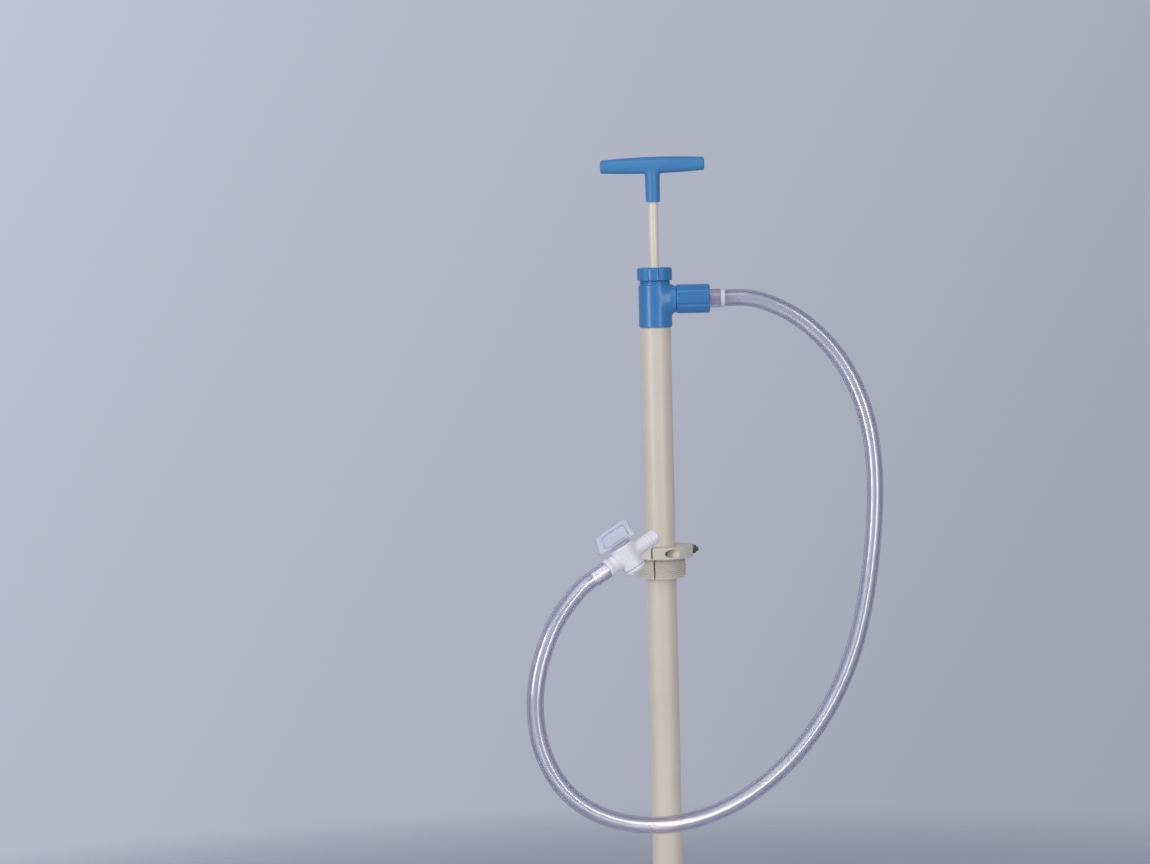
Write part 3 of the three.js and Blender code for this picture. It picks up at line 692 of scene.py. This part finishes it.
lathe("union_gasket", fil([(8.2, 45.3, 0.3), (12.9, 45.3, 0.3), (12.9, 47.6, 0.3), (8.2, 47.6, 0.3)]), 56, "rubber", "pump", ["outlet_gasket"], ALONG_X)
lathe("stub_clamp_ring", fil([(11.5, 50, 0.2), (12.9, 50, 0.3), (12.9, 59, 0.3), (12.2, 60.6, 0.3), (11.5, 60.6, 0.2)]), 56, "white", "pump", ["outlet_clamp_ring"], ALONG_X)
stub = lathe("clear_outlet_stub", fil([(7.4, 47.9, 0.2), (11.2, 47.9, 0.3), (11.2, 78.1, 0.5), (7.4, 78.1, 0.3)]), 72, "stub", "pump", ["outlet_stub"], ALONG_X, longest=5)
stub.visible_shadow = False

# barbed connector: three saw-tooth rings at each side of the collar
conn = [(4.5, 58, 0.3), (5.9, 58, 0.3), (7.0, 62.2, 0.2), (6.2, 62.7, 0.1), (6.2, 65.4), (7.0, 68.4, 0.2), (6.2, 68.9, 0.1), (6.2, 71.6), (7.0, 74.6, 0.2), (6.2, 75.1, 0.1),
        (6.2, 78.4, 0.2), (11.3, 78.4, 0.6), (11.3, 83.3, 0.6), (6.2, 83.3, 0.2),
        (6.2, 86.4, 0.1), (7.0, 86.9, 0.2), (6.2, 89.9), (6.2, 92.6, 0.1), (7.0, 93.1, 0.2), (6.2, 96.1), (6.2, 97.5, 0.1), (7.0, 98.0, 0.2), (5.9, 102, 0.3), (4.5, 102, 0.3)]
lathe("barbed_hose_connector", fil(conn, 3), 64, "conn", "pump", ["hose_connector"], ALONG_X)

b = -562.0
lathe("piston_seat_ring", fil([(4.5, b, 0.4), (14.2, b, 1.0), (14.2, b + 3.7, 0.3), (4.5, b + 3.7, 0.8)]), 64, "white", "rod", ["piston_seat"])
lathe("piston_cup_seal", fil([(12.3, b + 4.1, 0.2), (14.2, b + 4.1, 0.4), (14.7, b + 9.6, 0.3), (13.9, b + 10.6, 0.2), (13.6, b + 8.4, 0.3), (12.3, b + 8.4, 0.2)]), 72, "rubber", "piston_ring", ["piston_seal"])


def ball_profile(radius, z, n=26):
    return [(0.0, z - radius)] + [(radius * math.sin(math.pi * k / n), z - radius * math.cos(math.pi * k / n)) for k in range(1, n)] + [(0.0, z + radius)]


lathe("piston_valve_ball", ball_profile(6.0, b + 8.2), 48, "ball", "piston_ball", ["piston_ball"])
lathe("foot_valve_ball_solid", ball_profile(8.0, -673 + 8.4), 52, "ball", "foot_ball", ["foot_valve_ball"])

# ------------------------------------------------------------------ head
head_out = Table(fil([(-30, 276.6), (20.0, 276.6, 0.9), (19.8, 327, 1.6), (17.9, 327, 0.5), (17.9, 329.3, 0.2), (18.5, 329.6, 0.3), (18.5, 330.6, 0.3), (17.8, 330.9, 0.2),
                      (17.8, 332, 0.4), (15.4, 332, 0.3), (15.4, 344, 0.6), (-30, 344)]))
head_in = Table(fil([(-30, 266), (17.2, 266), (17.2, 300.9, 0.3), (14.5, 300.9, 0.3), (14.5, 323, 1.0), (11, 326, 0.5), (7, 326, 0.3), (7, 330), (11, 330, 0.3), (11, 360), (-30, 360)]))
branch_out = Table(fil([(-30, 2), (16.85, 2), (16.85, 15), (16.25, 20), (16.25, 25, 0.9), (13.1, 25, 0.3), (13.1, 45, 0.8), (-30, 45)]))


def f_head(x, y, z):
    r = np.hypot(x, y)
    rb = np.hypot(y, z - 309.7)
    f = rU(head_out(r, z), branch_out(rb, x), 4.2)
    bore = np.maximum(rb - 8.0, -x)
    return rS(rS(f, head_in(r, z), 0.3), bore, 0.4)


solid("pump_head_body", f_head, (-21, -21, 276), (46, 21, 345), 0.72, "gloss", "pump", ["pump_head"])


def grooves(x, y, radius, lobes, turn, r, sink):
    """Distance to the nearest of a ring of round grooves."""
    pitch = 2 * math.pi / lobes
    a = np.arctan2(y, x) - math.radians(turn)
    a = a - pitch * np.round(a / pitch)
    q = np.hypot(x, y)
    c = radius + r - sink
    return np.hypot(q * np.cos(a) - c, q * np.sin(a)) - r


cap_out = Table(fil([(-30, 332.3), (20.9, 332.3, 1.3), (20.9, 348, 3.0), (-30, 348)]))
cap_in = Table(fil([(-30, 320), (15.7, 320), (15.7, 344.4, 0.5), (8.1, 344.4, 0.2), (8.1, 362), (-30, 362)]))


def f_cap(x, y, z):
    r = np.hypot(x, y)
    a = (np.arctan2(y, x) - math.radians(17.0)) / (math.pi / 4)
    a = 2 * (a - np.floor(a)) - 1
    crown = 0.55 * a * a * np.clip((r - 12) / 6, 0, 1) * np.clip((347.5 - z) / 3, 0, 1)
    f = rS(cap_out(r + crown, z), grooves(x, y, 20.9, 8, 17.0, 2.4, 1.4), 0.6)
    return rS(f, cap_in(r, z), 0.4)


solid("gland_cap_nut", f_cap, (-21, -21, 332), (21, 21, 348.3), 0.58, "gloss", "pump", ["cap_nut"])

union_out = Table(fil([(-30, 25.3), (17.4, 25.3, 2.0), (17.4, 65.4, 2.4), (-30, 65.4)]))
union_in = Table(fil([(-30, 15), (13.4, 15), (13.4, 60.9, 0.4), (11.5, 61.2, 0.2), (11.5, 82), (-30, 82)]))


def f_union(x, y, z):
    r = np.hypot(x, y)
    g = rI(grooves(x, y, 17.4, 8, 22.5, 2.0, 1.4), 27.6 - z, 1.0)
    return rS(rS(union_out(r, z), g, 0.5), union_in(r, z), 0.4)


solid("outlet_union_grip_nut", f_union, (-17.5, -17.5, 25), (17.5, 17.5, 65.8), 0.62, "gloss", "pump", ["outlet_union_nut"], ALONG_X)

# ------------------------------------------------------------------ handle
BAR_TILT = math.radians(0.8)
stem_out = Table(fil([(-30, 426), (8.5, 426, 0.9), (8.9, 457), (9.4, 472), (-30, 472)]))
socket_in = Table(fil([(-30, 415), (6.3, 415), (6.3, 452, 0.5), (-30, 452)]))


def f_handle(x, y, z):
    c, s = math.cos(BAR_TILT), math.sin(BAR_TILT)
    zr = z - 469.7
    bx, bz = x * c + zr * s, -x * s + zr * c
    t2 = (bx / 62.0) ** 2
    bz = bz - 0.25 + 0.10 * t2
    hz, hy = 10.0 - 2.3 * t2, 9.5 - 1.7 * t2
    n = 2.35
    k = (np.abs(bz / hz) ** n + np.abs(y / hy) ** n + 1e-12) ** (1 / n)
    bar = (k - 1.0) * np.minimum(hz, hy) * 0.92
    bar = rI(bar, np.abs(bx) - 62.2, 2.6)
    lip = np.hypot(np.abs(bx) - 60.3, bz + 6.9)
    lip = np.hypot(lip, np.maximum(np.abs(y) - 3.0, 0)) - 1.2
    bar = rU(bar, lip, 0.7)
    f = rU(bar, stem_out(np.hypot(x, y), z), 2.2)
    return rS(f, socket_in(np.hypot(x, y), z), 0.3)


solid("t_handle", f_handle, (-63, -10, 425), (63, 10, 483), 0.75, "satin", "rod", ["handle"])

# ------------------------------------------------------------------ bung adapter
SLIT = math.radians(18)
SD = np.array([-math.sin(SLIT), -math.cos(SLIT)])
SN = np.array([math.cos(SLIT), -math.sin(SLIT)])
flange = Table(fil([(18.3, -0.4), (18.3, 14, 0.7), (38.5, 14, 2.1), (38.5, 0, 0.8), (28.4, 0, 0.4), (28.4, -0.4)]))
neck = Table(fil([(18.3, -24, 0.6), (18.3, 1), (28.3, 1), (28.3, -3.4, 0.2), (28.3, -24)]))
PITCH = 2.309


def f_adapter(side):
    def f(x, y, z):
        r = np.hypot(x, y)
        body = np.minimum(flange(r, z), neck(r, z))
        th = np.arctan2(y, x)
        crest = 29.05 + 0.74 * np.cos(2 * math.pi * z / PITCH - th)
        lead = np.minimum(1.6 * np.clip((z + 24.0) / 3.0, 0, 1), 1.6) - 1.6
        tube = np.maximum((r - crest - lead) * 0.5, 18.3 - r)
        tube = rI(tube, np.abs(z + 13.3) - 10.7, 0.5)
        body = np.minimum(body, tube)
        for k in (1, -1):
            s = (x * SN[0] + y * SN[1]) * k
            d = x * SD[0] + y * SD[1] - 29.5 * k
            q = np.hypot(d, z - 7.0)
            boss = rI(q - 6.9, np.maximum(-s - 30.0, s + 8.0), 0.7)
            body = rU(body, boss, 1.2)
        for k in (1, -1):
            s = (x * SN[0] + y * SN[1]) * k
            d = x * SD[0] + y * SD[1] - 29.5 * k
            q = np.hypot(d, z - 7.0)
            body = rS(body, q - 3.3, 0.2)
            body = rS(body, np.maximum(q - 5.4, 11.3 - s), 0.5)
            body = rS(body, np.maximum(q - 6.5, s + 30.0), 0.2)
        return rI(body, 1.0 - side * (x * SN[0] + y * SN[1]), 0.45)
    return f


polar_solid("adapter_half_a", f_adapter(1), -SLIT, (-46.5, 17.4, -24.5), (46.5, 48.0, 14.3), (0.62, 0.44, 0.36), "adapter", "adapter", ["adapter_half_right"])
polar_solid("adapter_half_b", f_adapter(-1), math.pi - SLIT, (-46.5, 17.4, -24.5), (46.5, 48.0, 14.3), (0.62, 0.44, 0.36), "adapter", "adapter", ["adapter_half_left"])


def screw_frame(k):
    m = aim((SN[0] * k, SN[1] * k, 0), (0, 0, 1))
    return Matrix.Translation((SD[0] * 29.5 * k, SD[1] * 29.5 * k, 7.0)) @ m


S0 = 11.6
screw_out = Table(fil([(-9, S0 - 50), (2.55, S0 - 50, 0.5), (2.55, S0), (5.0, S0, 0.3), (5.0, S0 + 4, 0.9), (-9, S0 + 4)]), step=0.08)


def f_screw(x, y, z):
    r, th = np.hypot(x, y), np.arctan2(y, x)
    thread = (r - 2.62 - 0.24 * np.cos(2 * math.pi * z - th)) * 0.55
    thread = rI(thread, np.maximum(S0 - 49.6 - z, z - (S0 - 28)), 0.4)
    f = np.minimum(screw_out(r, z), thread)
    shank = np.maximum(r - 2.9, np.maximum(S0 - 28.3 - z, z - S0 - 0.2))
    f = np.minimum(f, shank)
    slot_cut = np.maximum(np.abs(y) - 0.6, S0 + 2.4 - z)
    return rS(f, slot_cut, 0.15)


nut_in = 2.95 + 0.1


def f_nut(x, y, z):
    r = np.hypot(x, y)
    hexa = np.full(np.shape(x), -1e9)
    for k in range(3):
        a = math.radians(60 * k)
        hexa = np.maximum(hexa, np.abs(x * math.cos(a) + y * math.sin(a)) - 5.0)
    zc = z + 30.3 + 2.5
    cham = (r - 5.55 + (np.abs(zc) - 1.9) * 1.7) * 0.5
    f = rI(rI(hexa, np.abs(zc) - 2.5, 0.15), cham, 0.15)
    return rS(f, r - nut_in, 0.3)


for tag, k in (("front", 1), ("rear", -1)):
    fm = screw_frame(k)
    solid(f"clamp_screw_{tag}_m6", f_screw, (-5.2, -5.2, S0 - 50.3), (5.2, 5.2, S0 + 4.3), 0.30, "steel", "adapter", [f"clamp_screw_{tag}"], fm, 1)
    solid(f"clamp_nut_{tag}_m6", f_nut, (-6, -6, -35.6), (6, 6, -30.0), 0.30, "steel", "adapter", [f"clamp_nut_{tag}"], fm, 1)

# ------------------------------------------------------------------ piston cage and foot valve
cage_t = Table(fil([(7.5, b + 4, 0.3), (12, b + 4, 0.3), (12, b + 11, 0.2), (14.2, b + 11, 0.5), (14.2, b + 16, 0.6), (10, b + 17, 0.8), (10, b + 41, 0.6), (9, b + 42, 0.3), (6.3, b + 42, 0.3),
                    (6.3, b + 30, 0.3), (-9, b + 30), (-9, b + 24), (7.5, b + 24, 0.5)]), xmin=-9)


def f_cage(x, y, z):
    f = cage_t(np.hypot(x, y), z)
    for u, v in ((x, y), (y, x)):
        f = rS(f, rI(np.abs(v) - 4.0, np.abs(z - b - 20.5) - 3.3, 1.0), 0.4)
    return f


solid("piston_ball_cage", f_cage, (-14.6, -14.6, b + 3.5), (14.6, 14.6, b + 42.5), 0.62, "white", "rod", ["piston_cage"])

T = -673.0
foot_t = Table(fil([(13, T - 15, 0.4), (18, T - 15, 1.0), (18, T - 0.3, 0.3), (14.7, T - 0.3), (14.7, T + 30, 0.9), (11, T + 30, 0.3), (11, T + 5, 0.4), (6.5, T + 3, 0.6), (6.5, T - 4, 0.5), (13, T - 4, 0.6)]))


def f_foot(x, y, z):
    f = foot_t(np.hypot(x, y), z)
    for u, v in ((x, y), (y, x)):
        f = rS(f, rI(np.abs(v) - 4.5, np.abs(z - T + 14) - 7.0, 1.5), 0.5)
    return f


solid("foot_valve_housing", f_foot, (-18.4, -18.4, T - 15.4), (18.4, 18.4, T + 30.4), 0.72, "adapter", "pump", ["foot_valve_body"])


def f_stop(x, y, z):
    r = np.hypot(x, y)
    ring = rI(np.abs(r - 9.15) - 1.55, np.abs(z - T - 25.5) - 3.0, 0.4)
    zz = np.abs(z - T - 24.5) - 2.0
    bars = rU(rI(rI(np.abs(y) - 1.5, np.abs(x) - 8.5, 0.3), zz, 0.4), rI(rI(np.abs(x) - 1.5, np.abs(y) - 8.5, 0.3), zz, 0.4), 0.8)
    return rU(ring, bars, 0.8)


solid("foot_ball_stop", f_stop, (-11, -11, T + 22), (11, 11, T + 29), 0.45, "white", "pump", ["foot_valve_cage"])

# ------------------------------------------------------------------ stopcock
barrel_t = Table(fil([(-30, -15.6), (13.2, -15.6, 0.9), (14.0, 11.0, 0.8), (13.4, 13, 0.7), (-30, 13)]))
ribs = [(9.0, 13.0)]
for k in range(5):
    u0 = 16.0 + 3.6 * k
    ribs += [(8.55, u0, 0.5), (8.9, u0 + 1.2, 0.6), (8.55, u0 + 2.4, 0.5)]
nozzle_t = Table(fil([(-30, 0), (9.0, 0)] + ribs + [(8.6, 36, 0.8), (8.6, 41.4, 2.0), (6.6, 44, 1.3), (-30, 44)]))
tail_t = Table(fil([(-30, -50), (5.4, -50, 1.6), (7.15, -46.2, 1.0), (7.15, -44.6, 0.5), (6.2, -44.0, 0.2), (6.2, -41.6), (7.1, -38.2, 0.3), (6.2, -37.6, 0.2), (6.2, -35.2), (7.0, -32.0, 0.3), (6.2, -31.4, 0.2),
                    (6.2, -29.3, 0.2), (9.6, -29.3, 0.5), (10.8, -28.0, 0.6), (10.8, -24.6, 0.8), (9.0, -23.2, 0.6), (9.0, -19.5, 0.4), (9.6, -18.6, 0.4), (9.6, -16.4, 0.4), (9.0, -15.4, 0.4), (9.0, 0), (-30, 0)]))
UV = np.array(UM.to_3x3())


def f_cock(u, v, w):
    """Local axes: u along the flow, v along the plug, w across."""
    ru, rv = np.hypot(v, w), np.hypot(u, w)
    f = rU(barrel_t(rv, v), nozzle_t(ru, u), 2.2)
    f = rU(f, tail_t(ru, u), 1.6)
    f = rS(f, ru - 5.0, 0.4)
    return rS(f, rv - 10.3, 0.5)


COCK = Matrix.Translation(COCK_C) @ Matrix((COCK_U, COCK_V, COCK_U.cross(COCK_V))).transposed().to_4x4()
solid("stopcock_housing", f_cock, (-50.5, -16.1, -14.5), (44.5, 13.5, 14.5), 0.62, "natural", "pump", ["stopcock_body"], COCK)

plug_t = Table(fil([(-9, -19.6), (4, -19.6, 0.5), (4.7, -18.7, 0.3), (4.7, -15.3, 0.4), (10, -15.3, 0.5), (10, 13.3, 0.3), (13, 13.3, 0.3), (13, 15.8, 0.9), (12, 16.6, 0.5), (-9, 16.6)]))
wing_o = Table(fil([(-27.5, 19.2, 1.0), (-25.8, 17.8, 1.2), (-13, 15.6), (21.4, 15.5, 1.0), (21.8, 35.5, 1.6), (20, 37.6, 1.4), (-19.5, 37.6, 1.4), (-21.5, 36, 1.0)]), xmin=-34)
wing_r = Table(fil([(-19, 19.5, 1.6), (15.5, 19.5, 1.6), (15.5, 33, 1.6), (-15.5, 33, 1.6)]), xmin=-28)


def f_key(u, v, w):
    wing = rI(wing_o(u, v), np.abs(w) - 2.7, 0.7)
    recess = rI(wing_r(u, v), 1.1 - np.abs(w), 0.3)
    wing = rS(wing, recess, 0.5)
    f = rU(plug_t(np.hypot(u, w), v), wing, 1.2)
    return rS(f, np.hypot(v, w) - 4.5, 0.4)


key = solid("stopcock_key", f_key, (-28, -20.1, -13.3), (22.5, 38, 13.3), 0.55, "key", "stopcock_key", ["stopcock_plug"], COCK)
cap_profile = fil([(5, -15.9, 0.2), (12.8, -15.9, 0.3), (12.8, -18.9, 1.0), (10.5, -21.7, 1.0), (0, -21.7)])
endcap = lathe("stopcock_end_cover", [(0, -20.1), (5.0, -20.1)] + cap_profile, 64, "natural", "stopcock_key", ["stopcock_end_cap"], VM)

# ------------------------------------------------------------------ stage and light
world = bpy.data.worlds.new("studio")
world.use_nodes = True
scene.world = world
wt = world.node_tree
wco = wt.nodes.new("ShaderNodeTexCoord")
wsep = wt.nodes.new("ShaderNodeSeparateXYZ")
wt.links.new(wco.outputs["Generated"], wsep.inputs[0])


def world_span(sock, a, b, lo, hi):
    n = wt.nodes.new("ShaderNodeMapRange")
    for k, v in (("From Min", a), ("From Max", b), ("To Min", lo), ("To Max", hi)):
        n.inputs[k].default_value = v
    wt.links.new(sock, n.inputs["Value"])
    return n.outputs["Result"]


# a plain grey wall, a little brighter towards the left and the top
wsum = wt.nodes.new("ShaderNodeMath")
wsum.operation = "ADD"
wt.links.new(world_span(wsep.outputs[0], -0.25, 0.25, 0.530, 0.356), wsum.inputs[0])
wt.links.new(world_span(wsep.outputs[2], -0.30, 0.20, -0.059, 0.039), wsum.inputs[1])
wbg = wt.nodes["Background"]
wbg.inputs["Color"].default_value = (1.0 / 1.24, 1.037 / 1.24, 1.0, 1.0)
wmul = wt.nodes.new("ShaderNodeMath")
wmul.operation = "MULTIPLY"
wmul.inputs[1].default_value = 1.24
wt.links.new(wsum.outputs[0], wmul.inputs[0])
# the room beside and below the wall is darker
level = wmul.outputs[0]
for part in (world_span(wsep.outputs[1], 0.25, 0.85, 0.54, 1.0), world_span(wsep.outputs[2], -0.75, -0.28, 0.45, 1.0)):
    wm = wt.nodes.new("ShaderNodeMath")
    wm.operation = "MULTIPLY"
    wt.links.new(level, wm.inputs[0])
    wt.links.new(part, wm.inputs[1])
    level = wm.outputs[0]
wt.links.new(level, wbg.inputs["Strength"])

floor_z = -0.70
fv, ff = lathe_mesh([(0.0, floor_z - 0.01), (2.4, floor_z - 0.01), (2.4, floor_z), (1.2, floor_z), (0.0, floor_z)], 64, 1e9, 1e9)
fme = bpy.data.meshes.new("floor")
fme.from_pydata(fv, [], ff)
fme.update()
floor = bpy.data.objects.new("floor", fme)
scene.collection.objects.link(floor)
fm = Mat("pale_floor")
geo = fm.node("ShaderNodeVectorMath", operation="LENGTH")
fm.link(fm.co, geo.inputs[0])
fade = fm.span(geo.outputs["Value"], 0.0, 1.0, 1.5, 2.3)
cloud = fm.noise(2.0, 4.0, 0.5)
fm.set(Base_Color=fm.ramp(cloud, [(0.3, lin(210, 212, 224)), (0.7, lin(216, 218, 229))]), Roughness=0.7)
emi = fm.node("ShaderNodeBsdfTransparent")
mixer = fm.node("ShaderNodeMixShader")
out = next(n for n in fm.t.nodes if n.type == "OUTPUT_MATERIAL")
fm.link(fade, mixer.inputs[0])
fm.link(fm.b.outputs[0], mixer.inputs[1])
fm.link(emi.outputs[0], mixer.inputs[2])
fm.link(mixer.outputs[0], out.inputs["Surface"])
fme.materials.append(fm.m)


def softbox(name, azimuth, distance, height, size, power, colour=(1, 1, 1), target=(0, 0, 0.1)):
    """Azimuth in degrees to the right of the camera's direction."""
    d = bpy.data.lights.new(name, "AREA")
    d.shape = "RECTANGLE"
    d.size, d.size_y = size
    d.energy = power
    d.color = colour
    o = bpy.data.objects.new(name, d)
    scene.collection.objects.link(o)
    a = math.radians(azimuth)
    o.location = (distance * math.sin(a), -distance * math.cos(a), height)
    o.rotation_euler = (Vector(target) - o.location).to_track_quat("-Z", "Y").to_euler()
    o.visible_camera = False
    o.visible_transmission = False
    return o


softbox("strip_left", -46, 2.6, 0.55, (0.34, 1.5), 22, (1.0, 0.99, 0.97))
softbox("strip_right", 30, 2.8, 1.0, (0.45, 3.2), 28, (1.0, 0.99, 0.97), (0, 0, 0.7))
softbox("overhead", -12, 1.6, 2.3, (1.6, 1.6), 10, (1.0, 1.0, 1.0))
